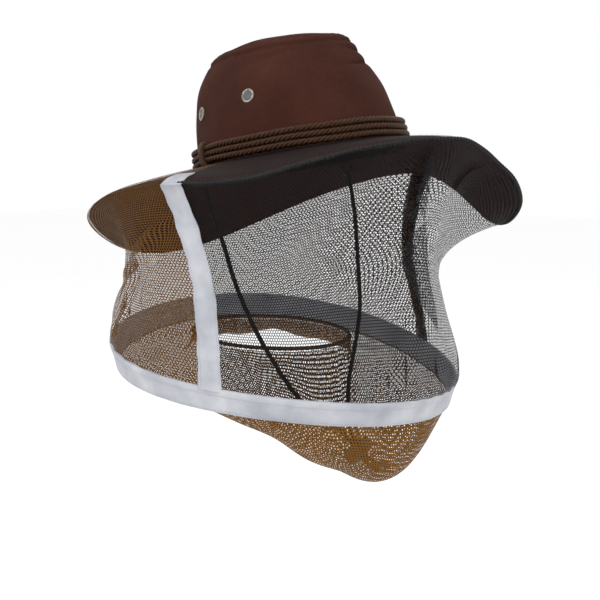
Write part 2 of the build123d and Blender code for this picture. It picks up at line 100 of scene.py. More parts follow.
HOOP_ROLL = 1.0
HOOP_SAG = 11.0
HOOP_SAG_TURN = 48.0
HOOP_TAPE = 21.0
HOOP_TAPER = 5.0
SEAM_RIGHT = 84.0
SEAM_RIGHT_HOOP = 69.0
SEAM_LEFT = -92.0
SEAM_LEFT_HOOP = -74.0
NECK_CENTRE = Vector((2.0, 42.0, -170.0))
NECK_RADIUS = 76.0
NECK_RING = 2.2
HAT_CORD_HEIGHT = 14.5
HAT_CORD_PITCH = 6.1
HAT_CORD_RADIUS = 2.9
HAT_CORD_GAP = 2.5
WRAP_ANGLE = 112.0
TAPE_WIDTH = 21.0
NET_OUT = 3.6  # how far the net stands off the brim's edge
NET_UP = -1.0
# Handles of the hanging net's curve. The drops are shares of its depth.
TUCK_OUT = 1.5
TUCK_UP = -7.0
HUG_IN = 92.0  # how far the tuck's handle goes in under the brim's low corners
HUG_DOWN = 4.0
HUG_LIFT = 0.12
SHOULDER_DROP = 0.44
WAIST_DROP = 0.46
WAIST_TURN = 0.62  # how far the waist has turned from the brim's angle to the hoop's
SEAM_TURN = 0.2  # how much further it has turned at the right seam
BELLY_DROP = 0.82
BELLY_OUT = 4.0
FOOT_COVER = 4.0  # how deep the net's foot lies under the hoop casing
COVER_START = 9.0  # where the net on the brim starts, from the crown
COVER_LIFT = 3.0
HAT_TURN = Matrix.Rotation(math.radians(-HAT_TILT), 3, "X")

# Swells around the hat, each as its height in millimetres, its middle and its spread in degrees.
CROWN_PINCHES = ((6.5, 34, 17), (6.5, -34, 17))
BRIM_DIPS = ((51, 182, 42), (13, 63, 23))
BRIM_SWELLS = ((11, 132, 26), (-12, -13, 15), (3, -40, 10))
WAIST_RADIUS = 153.0
WAIST_TUCKS = ((-16, -45, 40), (-6, 145, 30))
BELLY_SWELLS = ((18, -30, 30),)
POUCH_DEPTH = 7.0
POUCH_SWELLS = ((92, -4, 42), (22, 48, 30))
# Where the net hugs the brim's low corners: a share from 0 to 1 in place of a height.
HUGS = ((1, -42, 30), (0.6, 145, 32))


def hat_point(x, y, z):
    return HAT_TURN @ Vector((x, y, z))


def turned(angle, centre):
    return (angle - centre + 180) % 360 - 180


def swell(angle, centre, spread):
    return math.exp(-((turned(angle, centre) / spread) ** 2))


def raised(angle, swells):
    """The sum of swells given as heights, middles and spreads."""
    return sum(height * swell(angle, middle, spread) for height, middle, spread in swells)


def bell(value, centre, spread):
    return math.exp(-(((value - centre) / spread) ** 2))


def ease(low, high, value):
    """A smooth step from 0 to 1."""
    part = max(0.0, min(1.0, (value - low) / (high - low)))
    return part * part * (3 - 2 * part)


def waves(angle, count, phase=0.0):
    """A sine with a number of waves around the hat."""
    return math.sin(math.radians(angle * count) + phase)


def on_oval(angle, length, width):
    turn = math.radians(angle)
    return -width * math.sin(turn), -length * math.cos(turn)


def outward(angle):
    """The level direction away from the middle."""
    return Vector((*on_oval(angle, 1, 1), 0))


def crown_scale(height):
    """How wide the crown is at a height, as a share of the opening."""
    rise = height / CROWN_TOP_EDGE
    return 1 - CROWN_TAPER * rise - CROWN_ROUNDING * rise**ROUNDING_POWER


def crown_lean(height):
    """How far the crown's middle lies behind the opening's."""
    return CROWN_LEAN * math.sin(math.pi * min(height / CROWN_TOP_EDGE, 1) * LEAN_REACH)


def crown_pinch(angle, height):
    """How deep the crown is pinched in at its front corners."""
    return raised(angle, CROWN_PINCHES) * bell(height, PINCH_HEIGHT, PINCH_TALL)


def crown_place(angle, height, out):
    """A point of the crown's side in the hat's own frame."""
    scale = crown_scale(height)
    inward = crown_pinch(angle, height) - out
    x, y = on_oval(angle, OPENING_LENGTH * scale - inward, OPENING_WIDTH * scale - inward)
    return Vector((x, y + crown_lean(height), height))


def brim_dip(angle):
    """The height of the brim's edge in the hat's own frame."""
    spread = FRONT_DIP_AHEAD if turned(angle, FRONT_DIP_ANGLE) > 0 else FRONT_DIP_BEHIND
    front = FRONT_DIP * swell(angle, FRONT_DIP_ANGLE, spread)
    return BRIM_LEVEL - front - raised(angle, BRIM_DIPS)


def brim_reach(angle):
    """How far the brim's edge is from the middle."""
    turn = math.radians(angle)
    rear = REAR_BULGE * max(0.0, -math.cos(math.radians(angle - REAR_BULGE_TURN))) ** 1.5
    plain = 1 / math.hypot(math.cos(turn) / (BRIM_LENGTH + rear), math.sin(turn) / BRIM_WIDTH)
    return plain + raised(angle, BRIM_SWELLS)


def crown_reach(angle):
    """How far the crown's foot is from the middle."""
    turn = math.radians(angle)
    return 1 / math.hypot(math.cos(turn) / OPENING_LENGTH, math.sin(turn) / OPENING_WIDTH)


def brim_place(angle, out, up=0.0):
    """A point of the brim: out runs from 0 at the crown to 1 at the edge."""
    inner = crown_reach(angle)
    reach = inner + (brim_reach(angle) - inner) * out
    x, y = on_oval(angle, reach, reach)
    part = max(out, 0.0)
    height = BRIM_SLOPE * part + (brim_dip(angle) - BRIM_SLOPE) * part**BRIM_CURVE
    return hat_point(x, y, height + up)


def brim_edge(angle, out, up):
    reach = brim_reach(angle) + out
    x, y = on_oval(angle, reach, reach)
    return hat_point(x, y, brim_dip(angle) + up)


def hoop_point(angle, radius, up=0.0):
    x, y = on_oval(angle, radius, radius)
    lift = y * math.tan(math.radians(HOOP_PITCH)) + x * math.tan(math.radians(HOOP_ROLL))
    sag = HOOP_SAG * math.sin(math.radians(angle - HOOP_SAG_TURN)) ** 2
    return HOOP_CENTRE + Vector((x, y, up + lift - sag))


def hoop_angle(angle):
    """The angle on the hoop below an angle on the brim."""
    if angle <= SEAM_RIGHT:
        part = (angle - SEAM_LEFT) / (SEAM_RIGHT - SEAM_LEFT)
        return SEAM_LEFT_HOOP + part * (SEAM_RIGHT_HOOP - SEAM_LEFT_HOOP)
    part = (angle - SEAM_RIGHT) / (360 + SEAM_LEFT - SEAM_RIGHT)
    return SEAM_RIGHT_HOOP + part * (360 + SEAM_LEFT_HOOP - SEAM_RIGHT_HOOP)


def bezier(points, part):
    """A point of the curve that these points control."""
    order = len(points) - 1
    total = Vector((0, 0, 0))
    for index, point in enumerate(points):
        total += point * (math.comb(order, index) * part**index * (1 - part) ** (order - index))
    return total


def veil_point(angle, drop, out):
    """A point of the hanging net: drop runs from 0 at the brim's edge to 1 at the hoop."""
    low = hoop_angle(angle)
    middle = angle + (WAIST_TURN + SEAM_TURN * swell(angle, SEAM_RIGHT, 25)) * (low - angle)
    hug = raised(angle, HUGS)
    edge = brim_edge(angle, NET_OUT + out, NET_UP)
    tuck = brim_edge(angle, TUCK_OUT - HUG_IN * hug + out, TUCK_UP - HUG_DOWN * hug)
    foot = hoop_point(low, HOOP_RADIUS + out, HOOP_TAPE / 2 - FOOT_COVER)
    ring = hoop_point(middle, WAIST_RADIUS + raised(angle, WAIST_TUCKS) + out)
    swing = hoop_point(low, HOOP_RADIUS + BELLY_OUT + raised(angle, BELLY_SWELLS) + out)
    depth = edge.z - foot.z
    shoulder = Vector((ring.x, ring.y, edge.z - (SHOULDER_DROP - HUG_LIFT * hug) * depth))
    waist = Vector((ring.x, ring.y, edge.z - WAIST_DROP * depth))
    belly = Vector((swing.x, swing.y, edge.z - BELLY_DROP * depth))
    return bezier((edge, tuck, shoulder, waist, belly, foot), drop)


def veil_cover(angle, part):
    """A point of the net on the brim: part runs from -1 at the crown to 0 at the edge."""
    out = 1 + part * (1 - COVER_START / (brim_reach(angle) - crown_reach(angle)))
    top = brim_place(angle, out, COVER_LIFT)
    roll = ease(0.93, 1.0, out)
    return top.lerp(brim_edge(angle, NET_OUT, NET_UP), roll)


# --- Mesh builders ------------------------------------------------------------------------------

STITCH_SPANS = 4
STITCH_SINK = 0.15


def finish_mesh(name, mesh, material, slot, *nodes, body=HAT_BODY):
    """Make a piece of a mesh, which stands for some CAD nodes; the slot is not used."""
    piece = bpy.data.objects.new(name, mesh)
    bpy.context.scene.collection.objects.link(piece)
    mesh.materials.append(material)
    mesh.shade_smooth()
    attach(piece, body)
    if nodes:
        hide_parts(*nodes)
    return piece


def mesh_from(name, points, faces, corners):
    """A mesh with a UV map, which corners gives for every corner of every face."""
    mesh = bpy.data.meshes.new(name)
    mesh.from_pydata(points, [], faces)
    layer = mesh.uv_layers.new(name="UVMap")
    layer.data.foreach_set("uv", [value for corner in corners for value in corner])
    return mesh


def grid_mesh(name, columns, rows, point_of, uv_of, closed=False):
    """A mesh through point_of(u, v) for u and v from 0 to 1, with its own UV map in metres."""
    count = columns if closed else columns + 1
    points = [
        point_of(i / columns, j / rows) * MM for i in range(count) for j in range(rows + 1)
    ]
    faces = []
    corners = []
    for i in range(columns):
        for j in range(rows):
            square = ((i, j), (i + 1, j), (i + 1, j + 1), (i, j + 1))
            faces.append([(a % count) * (rows + 1) + b for a, b in square])
            corners += [uv_of(a / columns, b / rows) for a, b in square]
    return mesh_from(name, points, faces, corners)


TUBE_GIRTH = 0.01  # how wide the UV map is around any tube, in metres


def tube_mesh(name, paths, radius, sides, closed=False):
    """Tubes along lists of points in millimetres, as one mesh with UVs along and around."""
    points = []
    faces = []
    corners = []
    for path in paths:
        count = len(path)
        base = len(points)
        side = None
        travel = 0.0
        travels = []
        for index, here in enumerate(path):
            ahead = path[(index + 1) % count] if closed else path[min(index + 1, count - 1)]
            behind = path[index - 1] if closed or index else here
            along = (ahead - behind).normalized()
            guess = side if side is not None else along.orthogonal()
            side = (guess - along * guess.dot(along)).normalized()
            other = along.cross(side)
            width = radius(index / (count - 1)) if callable(radius) else radius
            for n in range(sides):
                turn = 2 * math.pi * n / sides
                points.append((here + (side * math.cos(turn) + other * math.sin(turn)) * width) * MM)
            travels.append(travel * MM)
            travel += (ahead - here).length
        spans = count if closed else count - 1
        for index in range(spans):
            after = (index + 1) % count
            for n in range(sides):
                m = (n + 1) % sides
                ring = [base + index * sides + n, base + index * sides + m]
                ring += [base + after * sides + m, base + after * sides + n]
                faces.append(ring)
                low = travels[index]
                high = travels[after] if after else travel * MM
                across = (n * TUBE_GIRTH / sides, (n + 1) * TUBE_GIRTH / sides)
                corners += [(low, across[0]), (low, across[1]), (high, across[1]), (high, across[0])]
    return mesh_from(name, points, faces, corners)


def stitches(name, path_of, material, slot, count, length, lift, thick=0.45, start=0, stop=360):
    """A row of thread stitches along path_of(value), which gives a point and its outward normal."""
    paths = []
    for index in range(count):
        middle = start + (stop - start) * (index + 0.5) / count
        point, normal = path_of(middle)
        ahead, _ = path_of(middle + (stop - start) / count * 0.1)
        along = (ahead - point).normalized()
        profile = []
        for step in range(STITCH_SPANS + 1):
            part = step / STITCH_SPANS - 0.5
            rise = lift * (1 - (2 * part) ** 4)
            profile.append(point + along * part * length + normal * (rise - STITCH_SINK))
        paths.append(profile)
    finish_mesh(name, tube_mesh(name, paths, thick / 2, 5), material, slot)


# --- Materials ----------------------------------------------------------------------------------


class Nodes:
    """Shorthand for building a material's nodes."""

    def __init__(self, name):
        self.material = bpy.data.materials.new(name)
        self.material.use_nodes = True
        self.tree = self.material.node_tree
        self.shader = self.tree.nodes["Principled BSDF"]

    def new(self, kind, **settings):
        node = self.tree.nodes.new(kind)
        for key, value in settings.items():
            setattr(node, key, value)
        return node

    def put(self, value, socket):
        if isinstance(value, (int, float, tuple)):
            socket.default_value = value
        else:
            self.tree.links.new(value, socket)

    def math(self, operation, a, b=0.0, c=0.0):
        node = self.new("ShaderNodeMath", operation=operation)
        for value, socket in zip((a, b, c), node.inputs):
            self.put(value, socket)
        return node.outputs[0]

    def mix(self, factor, a, b):
        node = self.new("ShaderNodeMix", data_type="RGBA")
        self.put(factor, node.inputs["Factor"])
        self.put(a, node.inputs[6])
        self.put(b, node.inputs[7])
        return node.outputs[2]

    def paint(self, factor, dark, light):
        """Colour the shader by a factor from dark to light."""
        self.put(self.mix(factor, dark, light), self.shader.inputs["Base Color"])

    def uv(self):
        split = self.new("ShaderNodeSeparateXYZ")
        self.put(self.new("ShaderNodeTexCoord").outputs["UV"], split.inputs[0])
        return split.outputs[0], split.outputs[1]

    def noise(self, scale, detail):
        node = self.new("ShaderNodeTexNoise")
        node.inputs["Scale"].default_value = scale
        node.inputs["Detail"].default_value = detail
        self.put(self.new("ShaderNodeTexCoord").outputs["Object"], node.inputs["Vector"])
        return node.outputs["Fac"]

    def band(self, value, low, high):
        node = self.new("ShaderNodeMapRange")
        self.put(value, node.inputs["Value"])
        node.inputs["From Min"].default_value = low
        node.inputs["From Max"].default_value = high
        return node.outputs[0]

    def wave(self, value, pitch):
        """A sine of a length in metres, from -1 to 1."""
        return self.math("SINE", self.math("MULTIPLY", value, 2 * math.pi / pitch))

    def bump(self, height, distance, strength):
        node = self.new("ShaderNodeBump")
        node.inputs["Distance"].default_value = distance
        node.inputs["Strength"].default_value = strength
        self.put(height, node.inputs["Height"])
        self.put(node.outputs[0], self.shader.inputs["Normal"])

    def set(self, **values):
        for key, value in values.items():
            self.shader.inputs[key.replace("_", " ")].default_value = value


# Pitches of the fabrics' patterns, in metres.
CANVAS_PITCH = 0.0011
TAPE_PITCH = 0.0009
GAUZE_PITCH = 0.0011
NET_BLUR = 0.12  # half the width of the soft edge of a net's holes


def weave(nodes, pitch):
    """Height of a plain weave from the UV map."""
    u, v = nodes.uv()
    over = nodes.math("MULTIPLY", nodes.wave(u, pitch), nodes.wave(v, pitch))
    threads = nodes.math("MAXIMUM", nodes.wave(u, pitch / 2), nodes.wave(v, pitch / 2))
    return nodes.math("MULTIPLY_ADD", over, 0.5, threads)


def canvas_material(name, dark, light):
    nodes = Nodes(name)
    broad = nodes.noise(16, 4)
    fine = nodes.noise(900, 2)
    shade = nodes.math("MULTIPLY_ADD", fine, 0.45, nodes.math("MULTIPLY", broad, 0.6))
    nodes.paint(nodes.band(shade, 0.3, 0.75), dark, light)
    broad_folds = nodes.math("MULTIPLY_ADD", nodes.noise(15, 2), 9.0, weave(nodes, CANVAS_PITCH))
    height = nodes.math("MULTIPLY_ADD", nodes.noise(48, 3), 3.0, broad_folds)
    nodes.bump(height, 0.00022, 0.9)
    nodes.set(Roughness=0.92, Sheen_Weight=0.05, Sheen_Roughness=0.5, Specular_IOR_Level=0.06)
    nodes.shader.inputs["Sheen Tint"].default_value = (0.55, 0.32, 0.26, 1)
    return nodes.material


def net_material(name, dark, light, pitch, thread):
    """A mesh fabric with round holes in staggered rows: solid where a sum of three waves, which
    runs from -1.5 to 3, is below thread."""
    nodes = Nodes(name)
    u, v = nodes.uv()
    row = pitch * math.sqrt(3) / 2
    circle = 2 * math.pi
    first = nodes.math("COSINE", nodes.math("MULTIPLY", v, circle / row))
    slant = nodes.math("MULTIPLY", u, circle / pitch)
    half = nodes.math("MULTIPLY", v, circle / row / 2)
    second = nodes.math("COSINE", nodes.math("ADD", slant, half))
    third = nodes.math("COSINE", nodes.math("SUBTRACT", slant, half))
    holes = nodes.math("ADD", nodes.math("ADD", first, second), third)
    solid = nodes.band(holes, thread + NET_BLUR, thread - NET_BLUR)
    nodes.put(solid, nodes.shader.inputs["Alpha"])
    nodes.paint(nodes.noise(60, 3), dark, light)
    nodes.bump(nodes.math("MULTIPLY", holes, -1.0), 0.0002, 0.6)
    nodes.set(Roughness=0.6, Specular_IOR_Level=0.08)
    return nodes.material


def tape_material(name, dark, light):
    """Twill tape: fine slanting ribs, and a base colour mottled with painted shade."""
    nodes = Nodes(name)
    u, v = nodes.uv()
    rib = nodes.wave(nodes.math("ADD", u, v), TAPE_PITCH)
    # The noise mottles the base colour from the grey-blue dark to the light: painted shade of the tape's
    # soft wrinkles.
    nodes.paint(nodes.band(nodes.noise(34, 4), 0.3, 0.7), dark, light)
    height = nodes.math("MULTIPLY_ADD", nodes.noise(70, 3), 9.0, rib)
    nodes.bump(height, 0.00016, 0.8)
    nodes.set(Roughness=0.75, Sheen_Weight=0.15, Specular_IOR_Level=0.3)
    return nodes.material


def thread_material(name, dark, light, pitch, roughness=0.7):
    """Twisted or braided yarn, with ribs from the UV map along and around, both bumped and painted:
    painted shade in their grooves, painted highlights on their crowns.
    """
    nodes = Nodes(name)
    u, v = nodes.uv()
    rib = nodes.wave(nodes.math("ADD", u, v), pitch)
    # The colour follows the ribs, dark in their grooves and light on their crowns, as painted shade and
    # painted highlight; the noise adds random tone.
    shade = nodes.math("MULTIPLY_ADD", nodes.noise(500, 2), 0.6, nodes.band(rib, -1, 1))
    nodes.paint(nodes.band(shade, 0.3, 1.2), dark, light)
    nodes.bump(rib, 0.00025, 0.8)
    nodes.set(Roughness=roughness, Specular_IOR_Level=0.15)
    return nodes.material


def scaled(colour, factor):
    return tuple(value * factor for value in colour[:3]) + (1,)


def metal_material(name, colour, roughness):
    """Worn metal, at two thirds of this roughness where the noise is halfway."""
    nodes = Nodes(name)
    worn = nodes.noise(300, 3)
    nodes.paint(nodes.band(worn, 0.35, 0.65), scaled(colour, 0.55), colour)
    nodes.put(nodes.band(worn, 0.9, 0.9 - 0.6 / roughness), nodes.shader.inputs["Roughness"])
    nodes.bump(worn, 0.00008, 0.5)
    nodes.set(Metallic=1.0)
    return nodes.material


def gauze_material(name):
    """Woven wire, from the place along Y and Z."""
    nodes = Nodes(name)
    split = nodes.new("ShaderNodeSeparateXYZ")
    nodes.put(nodes.new("ShaderNodeTexCoord").outputs["Object"], split.inputs[0])
    along, across = (nodes.wave(split.outputs[axis], GAUZE_PITCH) for axis in (1, 2))
    wires = nodes.math("MAXIMUM", along, across)
    nodes.paint(nodes.band(wires, 0.2, 0.9), (0.035, 0.035, 0.035, 1), (0.20, 0.205, 0.20, 1))
    nodes.bump(wires, 0.0003, 0.8)
    nodes.set(Metallic=0.3, Roughness=0.5)
    return nodes.material


def plastic_material(name, colour):
    nodes = Nodes(name)
    grain = nodes.noise(900, 3)
    nodes.paint(grain, colour, scaled(colour, 1.8))
    nodes.bump(grain, 0.00006, 0.5)
    nodes.set(Roughness=0.42)
    return nodes.material


canvas = canvas_material("canvas", (0.031, 0.0105, 0.0075, 1), (0.092, 0.031, 0.0205, 1))
brim_canvas = canvas_material("brim_canvas", (0.022, 0.008, 0.006, 1), (0.048, 0.018, 0.013, 1))
band_cloth = canvas_material("band_cloth", (0.012, 0.006, 0.005, 1), (0.026, 0.013, 0.011, 1))
# The thread materials colour their ribs from dark to light: painted shade in the grooves, painted
# highlight on the crowns.
seam_thread = thread_material("seam_thread", (0.030, 0.010, 0.008, 1), (0.10, 0.035, 0.025, 1), 0.0006)
white_thread = thread_material("white_thread", (0.36, 0.37, 0.41, 1), (0.60, 0.61, 0.65, 1), 0.0006)
# The white tape's grey-blue dark colour is painted shade of its wrinkles.
white_tape = tape_material("white_tape", (0.38, 0.39, 0.44, 1), (0.60, 0.61, 0.65, 1))
black_net = net_material("black_net", (0.004, 0.004, 0.005, 1), (0.010, 0.010, 0.011, 1), 0.0028, -0.6)
brown_net = net_material("brown_net", (0.072, 0.030, 0.0065, 1), (0.145, 0.066, 0.0155, 1), 0.0033, -0.3)
# The neck net's colours are darkened as painted shadow, the shade of the head form that it hangs around.
neck_mesh = net_material("neck_mesh", (0.10, 0.041, 0.006, 1), (0.20, 0.089, 0.014, 1), 0.0027, 0.95)
cord_yarn = thread_material("cord_yarn", (0.005, 0.0025, 0.0016, 1), (0.115, 0.054, 0.028, 1), 0.0016, 0.4)
chin_yarn = thread_material("chin_yarn", (0.010, 0.007, 0.006, 1), (0.055, 0.036, 0.028, 1), 0.0026)
net_edge = thread_material("net_edge", (0.006, 0.006, 0.007, 1), (0.028, 0.027, 0.028, 1), 0.0021)
elastic_cloth = thread_material("elastic_cloth", (0.05, 0.024, 0.009, 1), (0.12, 0.06, 0.022, 1), 0.0022)
nickel = metal_material("nickel", (0.42, 0.40, 0.36, 1), 0.9)
wire_steel = metal_material("wire_steel", (0.55, 0.55, 0.57, 1), 0.8)
gauze = gauze_material("gauze")
lock_plastic = plastic_material("lock_plastic", (0.012, 0.012, 0.013, 1))


def dress(prefix, material):
    """Give a material to every CAD node whose name starts with the prefix."""
    for name in frame["nodes"]:
        if name.startswith(prefix):
            node = bpy.data.objects[name]
            for index in range(len(node.material_slots)):
                node.material_slots[index].material = material


dress("eyelet_", nickel)
dress("hoop_wire", wire_steel)
dress("lock_", lock_plastic)
dress("cord_tab", chin_yarn)

# --- Spring in the cord lock --------------------------------------------------------------------

SPRING_TURNS = 3.0
SPRING_RADIUS = 4.0
SPRING_WIRE_RADIUS = 0.42
SPRING_LENGTH = 6.0
SPRING_STEPS = 144
press = next(joint for joint in frame["joints"] if joint["name"] == "button_press")
spring_axis = Vector(press["axis"]).normalized()
spring_low, spring_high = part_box("lock_spring")
spring_centre = (Vector(spring_low) + Vector(spring_high)) / 2 / MM
spring_foot = spring_centre - spring_axis * SPRING_LENGTH / 2
spring_side = spring_axis.orthogonal().normalized()


def spring_point(part):
    turn = 2 * math.pi * SPRING_TURNS * part
    rise = SPRING_WIRE_RADIUS + (SPRING_LENGTH - 2 * SPRING_WIRE_RADIUS) * part
    around = spring_side * math.cos(turn) + spring_axis.cross(spring_side) * math.sin(turn)
    return spring_foot + spring_axis * rise + around * SPRING_RADIUS


spring_line = [spring_point(n / SPRING_STEPS) for n in range(SPRING_STEPS + 1)]
spring_mesh = tube_mesh("lock_coil", [spring_line], SPRING_WIRE_RADIUS, 10)
lock_coil = finish_mesh("lock_coil", spring_mesh, wire_steel, "spring_steel", "lock_spring", body="lock")
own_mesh(lock_coil)

# --- Chin cord ----------------------------------------------------------------------------------

CHIN_CORD_RADIUS = 0.002
# The routes run from the tabs to the knots, in metres.
RIGHT_ROUTE = [
    (-0.1010, 0.0280, -0.0170),
    (-0.0985, 0.0220, -0.0420),
    (-0.0920, 0.0120, -0.0720),
    (-0.0895, 0.0010, -0.1080),
    (-0.0830, -0.0200, -0.1520),
    (-0.0690, -0.0430, -0.1960),
    (-0.0580, -0.0580, -0.2180),
    (-0.0400, -0.0650, -0.2330),
    (-0.0188, -0.0700, -0.2460),
    (-0.0188, -0.0931, -0.2709),
    (-0.0220, -0.1090, -0.2720),
]
LEFT_ROUTE = [
    (0.1010, 0.0280, -0.0170),
    (0.0995, 0.0200, -0.0420),
    (0.0950, 0.0120, -0.0740),
    (0.0870, 0.0030, -0.1080),
    (0.0770, -0.0090, -0.1440),
    (0.0440, -0.0300, -0.1780),
    (0.0220, -0.0400, -0.2040),
    (0.0000, -0.0580, -0.2290),
    (-0.0132, -0.0700, -0.2460),
    (-0.0132, -0.0931, -0.2709),
    (-0.0095, -0.1090, -0.2720),
]
KNOT_PULL = 2.0
KNOT_PLY = 1.5
KNOT_REACH = 1.45
KNOT_STEPS = 72


def chin_cord(side, route):
    """One strand, on a smooth spline that its route controls."""
    curve = bpy.data.curves.new(f"chin_strand_{side}", "CURVE")
    curve.dimensions = "3D"
    spline = curve.splines.new("NURBS")
    spline.points.add(len(route) - 1)
    for point, place in zip(spline.points, route):
        point.co = (*place, 1)
    spline.order_u = 3
    spline.use_endpoint_u = True
    curve.bevel_depth = CHIN_CORD_RADIUS
    curve.bevel_resolution = 4
    curve.resolution_u = 24
    curve.materials.append(chin_yarn)
    strand = bpy.data.objects.new(f"chin_strand_{side}", curve)
    bpy.context.scene.collection.objects.link(strand)
    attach(strand, HAT_BODY)
    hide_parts(f"chin_cord_{side}")


def end_knot(side, route):
    """A small overhand knot in place of the plain ball, drawn up to the cord's end."""
    low, high = (Vector(corner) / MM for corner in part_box(f"cord_knot_{side}"))
    middle = (low + high) / 2
    middle += (Vector(route[-1]) / MM - middle).normalized() * KNOT_PULL
    path = []
    for step in range(KNOT_STEPS):
        turn = 2 * math.pi * step / KNOT_STEPS
        reach = KNOT_REACH * (1.25 + 0.55 * math.cos(3 * turn))
        lift = math.sin(3 * turn) * KNOT_PLY
        path.append(middle + Vector((math.cos(2 * turn) * reach, lift, math.sin(2 * turn) * reach)))
    mesh = tube_mesh(f"end_knot_{side}", [path], KNOT_PLY, 10, closed=True)
    finish_mesh(f"end_knot_{side}", mesh, chin_yarn, "chin_cord", f"cord_knot_{side}")


for side, route in (("right", RIGHT_ROUTE), ("left", LEFT_ROUTE)):
    end_knot(side, route)
    chin_cord(side, route)

# --- Crown --------------------------------------------------------------------------------------

# Creases: how far out they stand, their middle and spread in degrees, their height at a given
# angle, how much they climb a degree, and how tall they are.
CREASES = (
    (-5.2, -30, 25, 87, -40, 0.1, 2.3),
    (1.6, -30, 25, 92, -40, 0.1, 3),
    (-3.4, -10, 17, 76, -8, -0.12, 2.4),
    (-1.6, 60, 22, 90, 60, -0.2, 3.5),
)
CROWN_CLOTH = 0.0013
TOP_LIFT = 0.9
GROOVE_WIDTH = 0.36  # as shares of the crown's top, like the next two
GROOVE_LENGTH = 0.6
GROOVE_MIDDLE = -0.1
GAUZE_RADIUS = 4.6
EYELET_ARM = 92.0  # the crown's radius at the eyelets


def pucker(angle, height):
    """Small gathers under the top seam, and creases where the crown was pinched."""
    below = CROWN_TOP_EDGE - height
    gathers = 0.6 * bell(below, 6, 7) * waves(angle, TOP_GATHERS, 2 * waves(angle, 5))
    crease = 0.0
    for stand, middle, spread, level, at, climb, tall in CREASES:
        ridge = level + climb * turned(angle, at)
        crease += stand * swell(angle, middle, spread) * bell(height, ridge, tall)
    soft = 1.2 * waves(angle, 4, height * 0.06) + 0.8 * waves(angle, 7, -height * 0.1)
    roll = 1.5 * bell(below, 3.4, 1.7) - 0.8 * bell(below, 7.5, 1.2)
    calm = 1.0
    for _, place, level in EYELETS:
        calm -= (swell(angle, place, 9) + swell(angle, -place, 9)) * bell(height, level, 11)
    return gathers + crease + soft * bell(height, 60, 34) * 0.8 * calm + roll


def crown_side_point(u, v):
    """The crown's side, with its rows closer together near the top."""
    angle = 360 * u
    height = CROWN_TOP_EDGE * (1 - (1 - v) ** 1.25)
    return HAT_TURN @ crown_place(angle, height, pucker(angle, height) - 0.2)


def top_height(x, y):
    """The crown's top, a low dome with a groove from front to back."""
    scale = crown_scale(CROWN_TOP_EDGE)
    along = (y - crown_lean(CROWN_TOP_EDGE)) / (OPENING_LENGTH * scale)
    across = x / (OPENING_WIDTH * scale)
    middle = 1 - along**2 - across**2
    groove = bell(across, 0, GROOVE_WIDTH) * bell(along, GROOVE_MIDDLE, GROOVE_LENGTH)
    return CROWN_TOP_EDGE + TOP_LIFT + (CROWN_DOME - CROWN_DENT * groove) * middle


def crown_top_point(u, v):
    angle = 360 * u
    rim = crown_place(angle, CROWN_TOP_EDGE, TOP_LIFT + 0.35 * waves(angle, TOP_GATHERS))
    lean = crown_lean(CROWN_TOP_EDGE)
    x = rim.x * v
    y = lean + (rim.y - lean) * v
    edge = ease(0.93, 1.0, v)
    wave = 0.5 * math.sin(x * 0.11) * math.cos(y * 0.09)
    return hat_point(x, y, top_height(x, y) + wave - 2.6 * edge)


def thicken(piece, depth):
    """Give a sheet its thickness, inwards."""
    shell = piece.modifiers.new("thickness", "SOLIDIFY")
    shell.thickness = depth
    shell.offset = -1


def plain_uv(width, height):
    return lambda u, v: (u * width, v * height)


def round_uv(radius):
    return lambda u, v: (radius * v * math.cos(2 * math.pi * u), radius * v * math.sin(2 * math.pi * u))


mesh = grid_mesh("crown_cloth_side", 240, 60, crown_side_point, plain_uv(0.56, 0.115), closed=True)
cloth = finish_mesh("crown_cloth_side", mesh, canvas, "canvas", "crown_side_right", "crown_side_left")
thicken(cloth, CROWN_CLOTH)

mesh = grid_mesh("crown_cloth_top", 180, 30, crown_top_point, round_uv(0.07), closed=True)
cloth = finish_mesh("crown_cloth_top", mesh, canvas, "canvas", "crown_top")
thicken(cloth, CROWN_CLOTH)


def crown_row(height):
    """A path along the crown at a height, for stitches."""

    def path(angle):
        here = HAT_TURN @ crown_place(angle, height, pucker(angle, height))
        out = HAT_TURN @ Vector((*on_oval(angle, 1, 1), 0.3))
        return here, out.normalized()

    return path


def seam_place(angle):
    return HAT_TURN @ crown_place(angle, CROWN_TOP_EDGE - 0.4, pucker(angle, CROWN_TOP_EDGE) + 0.1)


seam_line = [seam_place(angle) for angle in range(360)]
mesh = tube_mesh("crown_seam", [seam_line], 0.55, 6, closed=True)
finish_mesh("crown_seam", mesh, seam_thread, "canvas")
for name, below, count in (("low", 6.5, 150), ("high", 1.5, 140)):
    row = crown_row(CROWN_TOP_EDGE - below)
    stitches(f"crown_stitches_{name}", row, seam_thread, "canvas", count, length=1.8, lift=0.2)


def gauze_disc(side, sign, place, angle, height):
    """A slightly domed patch of gauze inside an eyelet."""

    def point(u, v):
        reach = GAUZE_RADIUS * v
        turn = 2 * math.pi * u
        aside = math.degrees(reach * math.cos(turn) / EYELET_ARM)
        out = 1.3 + 0.4 * (1 - v**2)
        return HAT_TURN @ crown_place(sign * angle + aside, height + reach * math.sin(turn), out)

    name = f"gauze_disc_{side}_{place}"
    mesh = grid_mesh(name, 24, 6, point, plain_uv(0.03, 0.005), closed=True)
    finish_mesh(name, mesh, gauze, "gauze", f"eyelet_gauze_{side}_{place}")


for side, sign in (("right", 1), ("left", -1)):
    for place, angle, height in EYELETS:
        gauze_disc(side, sign, place, angle, height)

# --- Hat cord -----------------------------------------------------------------------------------

ROPE_TURNS = 46
STEPS_A_TURN = 11
ROPE_SPREAD = 1.62
ROPE_PLY = 1.32
TIE_SHIFTS = (-2.6, 0.9)  # where its two turns lie along the cords
TIE_CLIMB = 3.2
TIE_REACH = 4.0
TIE_SPREAD = 1.15
TIE_PLY = 1.3
UP = Vector((0, 0, 1))


